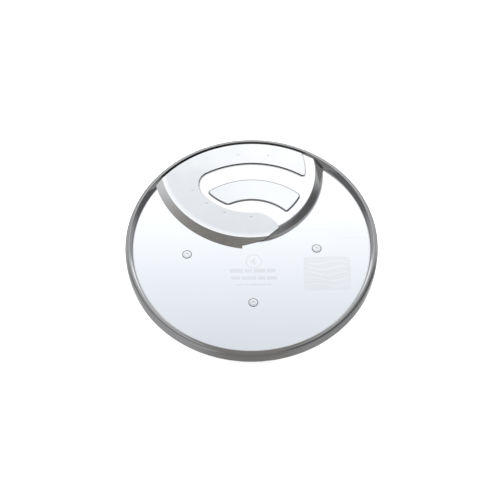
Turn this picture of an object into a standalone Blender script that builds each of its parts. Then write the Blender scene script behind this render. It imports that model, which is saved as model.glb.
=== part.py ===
"""Slicing disc of a food processor.

A pressed steel plate with a rolled rim carries a raised, lens-shaped platform. A crescent blade
is welded on the platform and overhangs a slot, so slices fall through under its edge. A plastic
carrier with a metal drive socket is riveted under the plate.

Frame: +Z is the drive axis, upwards. The origin is where the axis meets the surface that the hub
stands on. The blade's cutting edge faces -X and -Y.
"""

import math

import bmesh
import bpy

MM = 0.001
GAP = 0.3 * MM

# Plate
DISC_RADIUS = 87.2 * MM
PLATE_TOP = 18.0 * MM
SHEET = 1.0 * MM
WALL_FOOT_RADIUS = 81.8 * MM
CREST_RADIUS = 84.3 * MM
CREST_HEIGHT = 5.5 * MM
RIM_FILLET = 0.6 * MM
CREST_INNER_RADII = (1.15 * MM, 1.15 * MM)
CREST_OUTER_DROP = 3.3 * MM
CREST_FULLNESS = 3.2
CREST_SLOPE = 0.27
SKIRT_DEPTH = 4.6 * MM

# Raised platform, round about its own centre
HILL_CENTRE = (-8.0 * MM, 60.0 * MM)
HILL_TOP_RADIUS = 53.6 * MM
HILL_FOOT_RADIUS = 60.0 * MM
HILL_RIM_LIMIT = 83.3 * MM
PLATFORM_HEIGHT = 3.6 * MM
WALL_SHAPE = 0.75
PAD_HEIGHT = 0.8 * MM
PAD_SLOPE = 0.9 * MM

# Blade and the slot under it, round about the blade's centre
BLADE_CENTRE = (0.0, 68.0 * MM)
EDGE_CENTRE = (3.8 * MM, 68.3 * MM)
EDGE_RADIUS = 73.8 * MM
BEVEL_RADIUS = 64.5 * MM
BLADE_BACK_RADIUS = 44.5 * MM
BLADE_BACK_SPAN = (-84.3, -142.5)
ARM_ROOT = ((-36.1, 42.6), (-36.7, 44.7), (-37.0, 47.0), (-36.9, 50.0), (-36.2, 52.6), (-34.9, 55.0))
ARM_START = 120.1
ARM_RADIUS = 65.8 * MM
ARM_END_RADIUS = 46.4 * MM
ARM_CORNER = 3.0 * MM
BLADE_THICKNESS = 1.3 * MM
EDGE_LAND = 0.15 * MM
BLADE_REACH = 82.2 * MM
FRONT_TOP_RADIUS = 59.0 * MM
FRONT_FOOT_RADIUS = 65.6 * MM
SLOT_INNER_RADIUS = 60.0 * MM
SLOT_OUTER_RADIUS = 68.3 * MM
SLOT_SPAN = (-185.0, -95.0)
SLOT_REACH = 79.5 * MM
SLOT_HUB_CLEARANCE = 28.0 * MM

# Hub under the plate
RIVET_RADIUS = 45.0 * MM
RIVET_ANGLES = {"left": -171.5, "front": -89.0, "right": -3.7}
RIVET_HEAD_RADIUS = 3.1 * MM
RIVET_HEAD_EDGE = 0.1 * MM
RIVET_HEAD_DEPTH = 0.8 * MM
RIVET_MARK_RADIUS = 0.9 * MM
RIVET_MARK_DEPTH = 0.12 * MM
RIVET_SHANK_RADIUS = 2.0 * MM
RIVET_TAIL_RADIUS = 3.6 * MM
RIVET_TAIL_DEPTH = 1.55 * MM
WASHER_RADIUS = 5.0 * MM
WASHER_THICKNESS = 0.8 * MM
ARM_THICKNESS = 3.2 * MM
ARM_TIP_RADIUS = 7.5 * MM
ARM_ROOT_HALF_WIDTH = 11.0 * MM
RIB_HALF_WIDTH = 1.4 * MM
RIB_DEPTH = 6.5 * MM
FLANGE_RADIUS = 26.0 * MM
BOSS_RADIUS = 19.0 * MM
SOCKET_RADIUS = 12.0 * MM
SOCKET_FLANGE_RADIUS = 16.0 * MM
SOCKET_FLANGE_THICKNESS = 1.6 * MM
SOCKET_RECESS = 0.6 * MM
SPINDLE_RADIUS = 8.0 * MM
SPINDLE_FLAT = 6.0 * MM

TURN_STEPS = 80
BLADE_STEPS = 160
SMALL_STEPS = 32


def clear_scene():
    for obj in list(bpy.data.objects):
        bpy.data.objects.remove(obj, do_unlink=True)


def make_material(name, colour, metallic, roughness):
    material = bpy.data.materials.new(name)
    material.use_nodes = True
    shader = material.node_tree.nodes["Principled BSDF"]
    shader.inputs["Base Color"].default_value = (*colour, 1.0)
    shader.inputs["Metallic"].default_value = metallic
    shader.inputs["Roughness"].default_value = roughness
    return material


def arc(centre, radii, start, stop, steps):
    """Points on an ellipse's arc, from one angle to another in degrees."""
    points = []
    for i in range(steps + 1):
        angle = math.radians(start + (stop - start) * i / steps)
        x = centre[0] + radii[0] * math.cos(angle)
        y = centre[1] + radii[1] * math.sin(angle)
        points.append((x, y))
    return points


def circle_arc(centre, radius, first, last, steps):
    """Points on a circle, the short way from the direction of one point to that of another."""
    start = math.degrees(math.atan2(first[1] - centre[1], first[0] - centre[0]))
    stop = math.degrees(math.atan2(last[1] - centre[1], last[0] - centre[0]))
    if stop - start > 180:
        stop -= 360
    if stop - start < -180:
        stop += 360
    return arc(centre, (radius, radius), start, stop, steps)


def meet(centre_a, radius_a, centre_b, radius_b, side):
    """Where two circles cross; side is +1 or -1 and picks the crossing left or right of a to b."""
    dx = centre_b[0] - centre_a[0]
    dy = centre_b[1] - centre_a[1]
    apart = math.hypot(dx, dy)
    along = (apart**2 + radius_a**2 - radius_b**2) / (2 * apart)
    across = side * math.sqrt(radius_a**2 - along**2)
    x = centre_a[0] + (along * dx - across * dy) / apart
    y = centre_a[1] + (along * dy + across * dx) / apart
    return (x, y)


def offset(points, distance, closed):
    """A line moved to its left by a distance, with mitred corners."""
    count = len(points)
    moved = []
    for i in range(count):
        before = points[i - 1] if i > 0 or closed else points[i]
        after = points[(i + 1) % count] if i < count - 1 or closed else points[i]
        normals = []
        for p, q in ((before, points[i]), (points[i], after)):
            length = math.hypot(q[0] - p[0], q[1] - p[1])
            if length > 0:
                normals.append(((p[1] - q[1]) / length, (q[0] - p[0]) / length))
        nx = sum(n[0] for n in normals)
        ny = sum(n[1] for n in normals)
        size = math.hypot(nx, ny)
        stretch = distance * len(normals) / size**2 if len(normals) == 2 else distance
        moved.append((points[i][0] + nx * stretch, points[i][1] + ny * stretch))
    return moved


def finish(name, mesh_data, material, sharp_angle):
    """Turns a bmesh into a named object with outward faces and smooth shading."""
    bmesh.ops.recalc_face_normals(mesh_data, faces=mesh_data.faces)
    mesh = bpy.data.meshes.new(name)
    mesh_data.to_mesh(mesh)
    mesh_data.free()
    mesh.shade_smooth()
    mesh.set_sharp_from_angle(angle=math.radians(sharp_angle))
    obj = bpy.data.objects.new(name, mesh)
    if material:
        mesh.materials.append(material)
    bpy.context.scene.collection.objects.link(obj)
    return obj


def lathe(name, profile, steps, material=None, centre=(0.0, 0.0), span=None):
    """A closed (radius, height) profile turned about a vertical axis.

    A point at radius 0 becomes one vertex on the axis. A span of (start, stop) degrees makes
    a part turn with flat ends.
    """
    data = bmesh.new()
    start, stop = span or (0.0, 360.0)
    rings = steps + 1 if span else steps
    columns = []
    axis_points = {}
    for i in range(rings):
        angle = math.radians(start + (stop - start) * i / steps)
        column = []
        for j, (radius, height) in enumerate(profile):
            if radius == 0 and j in axis_points:
                column.append(axis_points[j])
                continue
            x = centre[0] + radius * math.cos(angle)
            y = centre[1] + radius * math.sin(angle)
            vertex = data.verts.new((x, y, height))
            if radius == 0:
                axis_points[j] = vertex
            column.append(vertex)
        columns.append(column)
    count = len(profile)
    for i in range(steps):
        here = columns[i]
        there = columns[(i + 1) % rings]
        for j in range(count):
            k = (j + 1) % count
            corners = []
            for vertex in (here[j], here[k], there[k], there[j]):
                if vertex not in corners:
                    corners.append(vertex)
            if len(corners) > 2:
                data.faces.new(corners)
    if span:
        data.faces.new(columns[0])
        data.faces.new(columns[-1])
    return finish(name, data, material, 30)


def loft(name, sections, material=None):
    """A solid through closed outlines of equal point count, each with its height."""
    data = bmesh.new()
    rings = []
    for outline, height in sections:
        rings.append([data.verts.new((x, y, height)) for x, y in outline])
    count = len(rings[0])
    for lower, upper in zip(rings, rings[1:]):
        for i in range(count):
            k = (i + 1) % count
            data.faces.new((lower[i], lower[k], upper[k], upper[i]))
    data.faces.new(rings[0])
    data.faces.new(rings[-1])
    return finish(name, data, material, 30)


def cylinder(name, centre, radius, bottom, top, steps=SMALL_STEPS, material=None):
    profile = [(0.0, top), (radius, top), (radius, bottom), (0.0, bottom)]
    return lathe(name, profile, steps, material, centre)


def combine(target, operation, tools):
    """Adds one Boolean per tool and hides the tools."""
    for tool in tools:
        tool.hide_render = True
        tool.display_type = "WIRE"
        modifier = target.modifiers.new(tool.name, "BOOLEAN")
        modifier.operation = operation
        modifier.solver = "EXACT"
        modifier.object = tool
    return target


def rivet_places():
    places = {}
    for side, angle in RIVET_ANGLES.items():
        turn = math.radians(angle)
        places[side] = (RIVET_RADIUS * math.cos(turn), RIVET_RADIUS * math.sin(turn))
    return places


def crest_outer_side(steps):
    """The crest's gently sloped top and full outer round, without the topmost point."""
    wide = DISC_RADIUS - CREST_RADIUS
    points = []
    for i in range(1, steps + 1):
        turn = 0.5 * math.pi * i / steps
        out = math.sin(turn) ** (2 / CREST_FULLNESS)
        fall = 1 - max(math.cos(turn), 0.0) ** (2 / CREST_FULLNESS)
        drop = CREST_SLOPE * wide * out + CREST_OUTER_DROP * fall
        points.append((CREST_RADIUS + wide * out, CREST_HEIGHT - drop))
    return points


def rim_profile():
    """The pressed sheet's section from the axis over the rim, upper face then lower face."""
    upper = [(0.0, 0.0)]
    upper += arc((WALL_FOOT_RADIUS, RIM_FILLET), (RIM_FILLET, RIM_FILLET), -90, -15, 3)
    shoulder = CREST_HEIGHT - CREST_INNER_RADII[1]
    upper += arc((CREST_RADIUS, shoulder), CREST_INNER_RADII, 165, 90, 3)
    upper += crest_outer_side(7)
    upper.append((DISC_RADIUS, -SKIRT_DEPTH))
    lower = offset(upper, -SHEET, closed=False)
    lower[0] = (0.0, -SHEET)
    lower[-1] = (lower[-1][0], -SKIRT_DEPTH)
    section = upper + lower[::-1]
    return [(radius, height + PLATE_TOP) for radius, height in section]


def wall_profile(top_radius, foot_radius, top, foot, bottom):
    """A flat top, then a wall with a tight shoulder and a wide foot, then straight down."""
    points = [(0.0, top)]
    steps = 7
    for i in range(steps + 1):
        share = i / steps
        radius = top_radius + share * (foot_radius - top_radius)
        fall = 0.5 - 0.5 * math.cos(math.pi * share**WALL_SHAPE)
        points.append((radius, top - (top - foot) * fall))
    points.append((foot_radius, bottom))
    points.append((0.0, bottom))
    return points


def make_platform(name, top, foot, inset, bottom, rim_limit):
    """The platform's solid: two round hills and the rim, taken where all three meet."""
    profile = wall_profile(HILL_TOP_RADIUS - inset, HILL_FOOT_RADIUS - inset, top, foot, bottom)
    solid = lathe(name, profile, TURN_STEPS, centre=HILL_CENTRE)
    profile = wall_profile(
        FRONT_TOP_RADIUS - inset, FRONT_FOOT_RADIUS - inset, top + MM, foot, bottom - MM
    )
    front = lathe(name + "_front_wall", profile, TURN_STEPS, centre=BLADE_CENTRE)
    low = bottom - 2 * MM
    high = top + 2 * MM
    rim = cylinder(name + "_rim_limit", (0, 0), rim_limit, low, high, TURN_STEPS)
    return combine(solid, "INTERSECT", [front, rim])


def make_hill():
    top = PLATE_TOP + PLATFORM_HEIGHT
    foot = PLATE_TOP - 0.15 * MM
    return make_platform("hill", top, foot, 0.0, PLATE_TOP - 0.5 * SHEET, HILL_RIM_LIMIT)


def make_hollow():
    """The space under the platform, which leaves the sheet's thickness above it."""
    top = PLATE_TOP + PLATFORM_HEIGHT - SHEET
    foot = PLATE_TOP - 1.4 * SHEET
    return make_platform("hollow", top, foot, 0.6 * SHEET, PLATE_TOP - 9 * MM, CREST_RADIUS)


def make_slot():
    """The crescent opening between the plate in front of the edge and the platform."""
    low = PLATE_TOP - 10 * MM
    high = PLATE_TOP + PLATFORM_HEIGHT + 2 * MM
    profile = [
        (SLOT_INNER_RADIUS, high),
        (SLOT_OUTER_RADIUS, high),
        (SLOT_OUTER_RADIUS, low),
        (SLOT_INNER_RADIUS, low),
    ]
    slot = lathe("slot", profile, 40, centre=BLADE_CENTRE, span=SLOT_SPAN)
    low -= MM
    high += MM
    reach = cylinder("slot_rim_limit", (0, 0), SLOT_REACH, low, high, TURN_STEPS)
    hub = cylinder("slot_hub_limit", (0, 0), SLOT_HUB_CLEARANCE, low - MM, high + MM, TURN_STEPS)
    combine(slot, "INTERSECT", [reach])
    return combine(slot, "DIFFERENCE", [hub])


def pad_outline(inner, outer, left, right, corner):
    """The pad's outline: two arcs about the disc's axis, ends parallel to blade and wall."""
    axis = (0.0, 0.0)
    ends = [
        meet(axis, inner, BLADE_CENTRE, left, 1),
        meet(axis, inner, HILL_CENTRE, right, -1),
        meet(axis, outer, HILL_CENTRE, right, -1),
        meet(axis, outer, BLADE_CENTRE, left, 1),
    ]
    sides = [(axis, inner), (HILL_CENTRE, right), (axis, outer), (BLADE_CENTRE, left)]
    steps = (14, 5, 16, 5)
    trimmed = []
    for i, (centre, radius) in enumerate(sides):
        points = circle_arc(centre, radius, ends[i], ends[(i + 1) % 4], 60)
        near_ends = (ends[i], ends[(i + 1) % 4])
        kept = [p for p in points if min(math.dist(p, end) for end in near_ends) > corner]
        stride = (len(kept) - 1) / steps[i]
        trimmed.append([kept[round(k * stride)] for k in range(steps[i] + 1)])
    outline = []
    for i, side in enumerate(trimmed):
        outline += side
        start = side[-1]
        control = ends[(i + 1) % 4]
        stop = trimmed[(i + 1) % 4][0]
        for t in (0.25, 0.5, 0.75):
            weights = ((1 - t) ** 2, 2 * t * (1 - t), t**2)
            x = sum(w * p[0] for w, p in zip(weights, (start, control, stop)))
            y = sum(w * p[1] for w, p in zip(weights, (start, control, stop)))
            outline.append((x, y))
    return outline


def make_pad():
    """The embossed pad on the platform, and the matching hollow under it."""
    surface = PLATE_TOP + PLATFORM_HEIGHT
    outline = pad_outline(34.6 * MM, 52.5 * MM, 40.6 * MM, 48.3 * MM, 2.6 * MM)
    top = offset(outline, PAD_SLOPE, closed=True)
    raised = loft("pad_raised", [
        (outline, surface - 0.5 * SHEET),
        (outline, surface),
        (top, surface + PAD_HEIGHT),
    ])
    below = offset(outline, 1.2 * MM, closed=True)
    above = offset(outline, 2 * PAD_SLOPE, closed=True)
    sunk = loft("pad_sunk", [
        (below, surface - 2.5 * SHEET),
        (below, surface - SHEET - 0.1 * MM),
        (above, surface + PAD_HEIGHT - SHEET),
    ])
    return raised, sunk


def make_rivet_hole(side, place):
    """A countersunk hole with the same slope as the rivet's head."""
    low = PLATE_TOP - SHEET - MM
    high = PLATE_TOP + MM
    neck = PLATE_TOP - RIVET_HEAD_DEPTH
    slope = (RIVET_HEAD_RADIUS - RIVET_SHANK_RADIUS) / (RIVET_HEAD_DEPTH - RIVET_HEAD_EDGE)
    low_radius = RIVET_SHANK_RADIUS + GAP
    top_radius = low_radius + slope * (high - neck)
    profile = [(0.0, high), (top_radius, high), (low_radius, neck), (low_radius, low), (0.0, low)]
    return lathe("hole_" + side, profile, 24, centre=place)


def make_plate(material):
    plate = lathe("disc_plate", rim_profile(), TURN_STEPS, material)
    raised, sunk = make_pad()
    holes = [make_rivet_hole(side, place) for side, place in rivet_places().items()]
    combine(plate, "UNION", [make_hill()])
    combine(plate, "DIFFERENCE", [make_hollow()])
    combine(plate, "UNION", [raised])
    combine(plate, "DIFFERENCE", [sunk, make_slot()] + holes)
    return plate


def edge_reach(angle):
    """Distance from the blade's centre to the cutting edge, whose circle has its own centre."""
    dx = EDGE_CENTRE[0] - BLADE_CENTRE[0]
    dy = EDGE_CENTRE[1] - BLADE_CENTRE[1]
    along = dx * math.cos(angle) + dy * math.sin(angle)
    across = dy * math.cos(angle) - dx * math.sin(angle)
    return along + math.sqrt(EDGE_RADIUS**2 - across**2)


def make_blade_stock(bottom, top, material):
    """The blade's stock: a flat round with a bevel that widens towards the blade's tip."""
    data = bmesh.new()
    rings = [[], [], []]
    for i in range(BLADE_STEPS):
        angle = math.tau * i / BLADE_STEPS
        edge = edge_reach(angle)
        profile = [(BEVEL_RADIUS, top), (edge, bottom + EDGE_LAND), (edge, bottom)]
        for ring, (radius, height) in zip(rings, profile):
            x = BLADE_CENTRE[0] + radius * math.cos(angle)
            y = BLADE_CENTRE[1] + radius * math.sin(angle)
            ring.append(data.verts.new((x, y, height)))
    for upper, lower in zip(rings, rings[1:]):
        for i in range(BLADE_STEPS):
            k = (i + 1) % BLADE_STEPS
            data.faces.new((upper[i], lower[i], lower[k], upper[k]))
    data.faces.new(rings[0])
    data.faces.new(rings[2])
    return finish("slicing_blade", data, material, 30)


def arm_line():
    """The arm's free edge: along its back, round its corner and out along its end."""
    axis = (0.0, 0.0)
    corner = meet(axis, ARM_RADIUS, HILL_CENTRE, ARM_END_RADIUS, -1)
    end = meet(axis, BLADE_REACH + 2 * MM, HILL_CENTRE, ARM_END_RADIUS, -1)
    turn = math.degrees(math.atan2(corner[1], corner[0]) + ARM_CORNER / ARM_RADIUS)
    back = arc(axis, (ARM_RADIUS, ARM_RADIUS), ARM_START, turn, 40)
    side = circle_arc(HILL_CENTRE, ARM_END_RADIUS, corner, end, 24)
    side = [p for p in side if math.dist(p, corner) > ARM_CORNER]
    bend = []
    for t in (0.25, 0.5, 0.75):
        weights = ((1 - t) ** 2, 2 * t * (1 - t), t**2)
        bend.append(tuple(
            sum(w * p[k] for w, p in zip(weights, (back[-1], corner, side[0]))) for k in (0, 1)
        ))
    return back + bend + side


def make_blade(material):
    """Crescent blade with an arm along the rim, and a ground bevel down to a thin edge."""
    bottom = PLATE_TOP + PLATFORM_HEIGHT + GAP
    top = bottom + BLADE_THICKNESS
    blade = make_blade_stock(bottom, top, material)
    low = bottom - 2 * MM
    high = top + 2 * MM
    reach = cylinder("blade_reach", (0, 0), BLADE_REACH, low, high, TURN_STEPS)
    corners = [(-6.4, -12.0), (-6.4, -2.6), (8.4, 1.5), (19.0, 11.2), (18.4, 13.4)]
    corners += [(13.0, 19.2), (9.6, 21.8)]
    outline = [(x * MM, y * MM) for x, y in corners]
    radii = (BLADE_BACK_RADIUS, BLADE_BACK_RADIUS)
    outline += arc(BLADE_CENTRE, radii, *BLADE_BACK_SPAN, 30)
    outline += [(x * MM, y * MM) for x, y in ARM_ROOT] + arm_line()
    outline += [(90.0 * MM, 90.0 * MM), (90.0 * MM, -12.0 * MM)]
    trim = loft("blade_back_trim", [(outline, low - MM), (outline, high + MM)])
    combine(blade, "INTERSECT", [reach])
    return combine(blade, "DIFFERENCE", [trim])


def make_carrier(material):
    """Plastic carrier: flange and boss round the drive socket, with an arm to each rivet."""
    top = PLATE_TOP - SHEET - GAP
    under = top - ARM_THICKNESS
    profile = [
        (0.0, top),
        (FLANGE_RADIUS - 0.6 * MM, top),
        (FLANGE_RADIUS, top - 0.6 * MM),
        (FLANGE_RADIUS, under + 0.8 * MM),
        (FLANGE_RADIUS - 0.8 * MM, under),
        (BOSS_RADIUS + 1.5 * MM, under),
        (BOSS_RADIUS, under - 1.5 * MM),
        (BOSS_RADIUS - 0.6 * MM, 0.8 * MM),
        (BOSS_RADIUS - 1.4 * MM, 0.0),
        (0.0, 0.0),
    ]
    carrier = lathe("hub_carrier", profile, 64, material)
    arms = []
    for side, (x, y) in rivet_places().items():
        turn = math.atan2(y, x)
        heading = math.degrees(turn)
        root_x = ARM_ROOT_HALF_WIDTH * math.sin(turn)
        root_y = -ARM_ROOT_HALF_WIDTH * math.cos(turn)
        tip = arc((x, y), (ARM_TIP_RADIUS, ARM_TIP_RADIUS), heading - 85, heading + 85, 12)
        outline = [(root_x, root_y)] + tip + [(-root_x, -root_y)]
        low = under + 0.2 * MM
        high = top - 0.15 * MM
        inner = offset(outline, 0.5 * MM, closed=True)
        sections = [(inner, low), (outline, low + 0.5 * MM), (outline, high)]
        arms.append(loft("arm_" + side, sections))
        arms.append(make_rib(side, turn, under))
    combine(carrier, "UNION", arms)
    bores = []
    for side, place in rivet_places().items():
        radius = RIVET_SHANK_RADIUS + GAP
        bores.append(cylinder("bore_" + side, place, radius, under - MM, top + MM, 24))
    seat = top - SOCKET_FLANGE_THICKNESS - GAP
    seat_radius = SOCKET_FLANGE_RADIUS + GAP
    bores.append(cylinder("socket_seat", (0, 0), seat_radius, seat, top + MM, 48))
    bores.append(cylinder("socket_bore", (0, 0), SOCKET_RADIUS + GAP, -MM, seat + MM, 48))
    return combine(carrier, "DIFFERENCE", bores)


def make_rib(side, turn, under):
    """A gusset under an arm, from the boss out towards the rivet."""
    start = BOSS_RADIUS - 3 * MM
    stop = RIVET_RADIUS - WASHER_RADIUS - 2.5 * MM
    data = bmesh.new()
    across = (-math.sin(turn), math.cos(turn))
    along = (math.cos(turn), math.sin(turn))
    section = [(start, under + MM), (stop, under + MM), (stop, under), (start, under - RIB_DEPTH)]
    rings = []
    for shift in (-RIB_HALF_WIDTH, RIB_HALF_WIDTH):
        ring = []
        for distance, height in section:
            x = along[0] * distance + across[0] * shift
            y = along[1] * distance + across[1] * shift
            ring.append(data.verts.new((x, y, height)))
        rings.append(ring)
    for i in range(4):
        k = (i + 1) % 4
        data.faces.new((rings[0][i], rings[0][k], rings[1][k], rings[1][i]))
    data.faces.new(rings[0])
    data.faces.new(rings[1])
    return finish("rib_" + side, data, None, 30)


def make_socket(material):
    """Metal drive socket: a closed flange trapped under the plate, and a sleeve with two flats."""
    top = PLATE_TOP - SHEET - GAP
    flange_under = top - SOCKET_FLANGE_THICKNESS
    profile = [
        (0.0, top),
        (SOCKET_FLANGE_RADIUS, top),
        (SOCKET_FLANGE_RADIUS, flange_under),
        (SOCKET_RADIUS, flange_under),
        (SOCKET_RADIUS, SOCKET_RECESS),
        (0.0, SOCKET_RECESS),
    ]
    socket = lathe("drive_socket", profile, 48, material)
    half_angle = math.degrees(math.acos(SPINDLE_FLAT / SPINDLE_RADIUS))
    radii = (SPINDLE_RADIUS, SPINDLE_RADIUS)
    upper = arc((0, 0), radii, 90 - (90 - half_angle), 90 + (90 - half_angle), 16)
    outline = upper + [(-x, -y) for x, y in upper]
    mouth = offset(outline, -0.8 * MM, closed=True)
    sections = [
        (mouth, SOCKET_RECESS - 0.2 * MM),
        (outline, SOCKET_RECESS + 0.8 * MM),
        (outline, flange_under),
    ]
    return combine(socket, "DIFFERENCE", [loft("spindle_hole", sections)])


def make_rivet(side, place, material):
    """Countersunk head flush with the plate, shank, and a domed tail under the washer."""
    top = PLATE_TOP + 0.05 * MM
    head_under = PLATE_TOP - RIVET_HEAD_DEPTH
    tail_top = PLATE_TOP - SHEET - 3 * GAP - ARM_THICKNESS - WASHER_THICKNESS
    profile = [
        (0.0, top - RIVET_MARK_DEPTH),
        (RIVET_MARK_RADIUS * 0.7, top - RIVET_MARK_DEPTH),
        (RIVET_MARK_RADIUS, top),
        (RIVET_HEAD_RADIUS - 0.3 * MM, top),
        (RIVET_HEAD_RADIUS, PLATE_TOP - RIVET_HEAD_EDGE),
        (RIVET_SHANK_RADIUS, head_under),
        (RIVET_SHANK_RADIUS, tail_top),
        (RIVET_TAIL_RADIUS, tail_top),
        (RIVET_TAIL_RADIUS, tail_top - 0.3 * RIVET_TAIL_DEPTH),
        (RIVET_TAIL_RADIUS * 0.8, tail_top - 0.7 * RIVET_TAIL_DEPTH),
        (RIVET_TAIL_RADIUS * 0.45, tail_top - 0.93 * RIVET_TAIL_DEPTH),
        (0.0, tail_top - RIVET_TAIL_DEPTH),
    ]
    return lathe("rivet_" + side, profile, 24, material, place)


def make_washer(side, place, material):
    top = PLATE_TOP - SHEET - 2 * GAP - ARM_THICKNESS
    bottom = top - WASHER_THICKNESS
    bore = RIVET_SHANK_RADIUS + GAP
    profile = [
        (bore, top),
        (WASHER_RADIUS, top),
        (WASHER_RADIUS, bottom),
        (bore, bottom),
    ]
    return lathe("washer_" + side, profile, 28, material, place)


def main():
    clear_scene()
    steel = make_material("pressed_steel", (0.80, 0.81, 0.82), 1.0, 0.12)
    ground = make_material("ground_blade_steel", (0.72, 0.72, 0.73), 1.0, 0.2)
    plastic = make_material("carrier_plastic", (0.55, 0.56, 0.57), 0.0, 0.45)
    drive = make_material("socket_metal", (0.62, 0.62, 0.63), 1.0, 0.35)
    fixing = make_material("rivet_metal", (0.74, 0.75, 0.76), 1.0, 0.22)
    make_plate(steel)
    make_blade(ground)
    make_carrier(plastic)
    make_socket(drive)
    for side, place in rivet_places().items():
        make_rivet(side, place, fixing)
        make_washer(side, place, fixing)


main()
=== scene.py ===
"""Looks of a food processor's slicing disc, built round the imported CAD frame.

The pressed plate and the blade are fine meshes with exact normals, because polished steel shows
every facet. Sizes are in metres, in the frame's own axes: +Z up, blade edge towards -X and -Y.
"""

import math

import bmesh
import bpy
import numpy as np
from mathutils import Matrix, Vector
from mathutils.geometry import delaunay_2d_cdt


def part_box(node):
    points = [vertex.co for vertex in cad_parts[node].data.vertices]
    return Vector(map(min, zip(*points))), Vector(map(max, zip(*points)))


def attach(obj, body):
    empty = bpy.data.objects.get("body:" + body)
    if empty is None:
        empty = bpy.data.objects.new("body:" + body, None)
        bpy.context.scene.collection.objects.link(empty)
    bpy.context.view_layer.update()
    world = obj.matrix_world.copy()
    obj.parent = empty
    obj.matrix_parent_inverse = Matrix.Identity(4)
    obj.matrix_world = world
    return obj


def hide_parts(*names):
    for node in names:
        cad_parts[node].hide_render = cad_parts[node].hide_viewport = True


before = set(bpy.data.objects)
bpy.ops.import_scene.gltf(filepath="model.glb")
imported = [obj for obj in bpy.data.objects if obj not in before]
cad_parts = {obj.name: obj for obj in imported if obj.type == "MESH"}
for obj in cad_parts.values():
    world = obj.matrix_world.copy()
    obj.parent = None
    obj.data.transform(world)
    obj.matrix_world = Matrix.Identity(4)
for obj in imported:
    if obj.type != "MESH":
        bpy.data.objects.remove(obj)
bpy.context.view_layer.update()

MM = 0.001

# Driving sizes from the frame
PLATE_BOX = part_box("disc_plate")
BLADE_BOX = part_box("slicing_blade")
SIDES = ("left", "front", "right")
RIVET_BOXES = {side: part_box("rivet_" + side) for side in SIDES}

# Plate section
DISC_RADIUS = PLATE_BOX[1].x
SKIRT_DEPTH = 4.6 * MM
PLATE_TOP = PLATE_BOX[0].z + SKIRT_DEPTH
SHEET = 1.0 * MM
FLAT_RADIUS = 80.0 * MM
WALL_FOOT_RADIUS = 81.8 * MM
RIM_FILLET = 0.6 * MM
RIM_WALL_TILT = math.radians(72.8)
CREST_RADIUS = 84.3 * MM
CREST_HEIGHT = 5.5 * MM
CREST_INNER_RADIUS = 0.5 * MM
CREST_OUTER_DROP = 3.3 * MM
CREST_FULLNESS = 3.2
CREST_SLOPE = 0.27
CREST_RINGS = 7
TIGHT_RINGS = (13, 26)
RIM_SECTORS = 600
WALL_START = WALL_FOOT_RADIUS + RIM_FILLET * math.sin(RIM_WALL_TILT)
CREST_START = CREST_RADIUS - CREST_INNER_RADIUS * math.sin(RIM_WALL_TILT)

# Raised platform and its embossed pad, which lies between four circles and has round corners
HILL_CENTRE = (-8.0 * MM, 60.0 * MM)
HILL_RADII = (53.6 * MM, 60.0 * MM)
BLADE_CENTRE = (0.0, 68.0 * MM)
FRONT_RADII = (59.0 * MM, 65.6 * MM)
WALL_SHOULDER = 0.12
WALL_FOOT = 0.35
WALL_MEET_BLEND = 0.25
PLATFORM_HEIGHT = 3.6 * MM
PLATFORM_BLEND = 0.7 * MM
PAD_HEIGHT = 0.8 * MM
PAD_SLOPE = 1.1 * MM
PAD_RADII = (34.6 * MM, 52.5 * MM)
PAD_LEFT_RADIUS = 40.6 * MM
PAD_RIGHT_RADIUS = 48.3 * MM
PAD_CORNERS = (1.8 * MM, 2.8 * MM)
PAD_MARGIN = 0.6 * MM

# Etched marks on the face
RING_CENTRE = (1.3 * MM, -12.8 * MM)
RING_RADII = (5.6 * MM, 4.9 * MM)
PANEL_LEFT = 25.0 * MM

# Material slots of the plate and of the blade
SHEET_SLOT, PANEL_SLOT, PAD_SLOT, MARK_SLOT = range(4)
# The blade's cut edges are near black: painted shade of the gap beside and under the blade, on
# edges a little darker from shearing.
BODY_SLOT, BEVEL_SLOT, SHADED_EDGE_SLOT = range(3)

# Slot under the blade
SLOT_RADII = (60.0 * MM, 68.3 * MM)
SLOT_REACH = 79.5 * MM
SLOT_HUB_CLEARANCE = 28.0 * MM

# Blade, whose end and whose arm's root are lists of points in millimetres
EDGE_CENTRE = (3.8 * MM, 68.3 * MM)
EDGE_RADIUS = 73.8 * MM
BEVEL_RADIUS = 64.5 * MM
BLADE_BACK_RADIUS = 44.5 * MM
BLADE_BACK_X = -37.0 * MM
BLADE_REACH = 82.2 * MM
BLADE_TIP_X = -6.4 * MM
BLADE_HEEL_X = 4.4 * MM
BLADE_END = ((-6.4, -2.6), (8.4, 1.5), (19.0, 11.2), (18.4, 13.4), (13.0, 19.2), (9.6, 21.8))
ARM_ROOT_START = (-35.3 * MM, 40.9 * MM)
ARM_ROOT = (
    (-36.1, 42.6), (-36.7, 44.7), (-37.0, 47.0), (-36.9, 50.0), (-36.2, 52.6), (-34.9, 55.0)
)
ARM_BACK_X = -33.0 * MM
ARM_RADIUS = 65.8 * MM
ARM_END_RADIUS = 46.4 * MM
ARM_CORNER = 3.0 * MM
EDGE_LAND = 0.15 * MM
WELD_RADIUS = 48.4 * MM
WELD_ANGLES = (-147.7, -130.4, -112.4, -90.1)
ARM_WELD_RADIUS = 72.5 * MM
ARM_WELD_ANGLES = (80.0, 97.0)
WELD_SIZE = 1.25 * MM
WELD_DEPTH = 0.07 * MM

# Rivets, and the edges of turned pieces and of pieces that keep their CAD mesh
RIVET_HEAD_RADIUS = 3.1 * MM
RIVET_HOLE_RADIUS = 3.3 * MM
RIVET_SHANK_RADIUS = 2.0 * MM
EDGE_ROUND = 0.2 * MM
SHARP_ANGLE = math.radians(35)

# Painted shade in tight corners, found by ambient occlusion. It starts and is full at these shares
# of open sky.
PAINTED_SHADE = (0.08, 0.08, 0.08, 1.0)
PAINTED_SHADE_REACH = 1.9 * MM
PAINTED_SHADE_LIMITS = (0.9, 0.5)
PAINTED_SHADE_SHARE = 0.95

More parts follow.
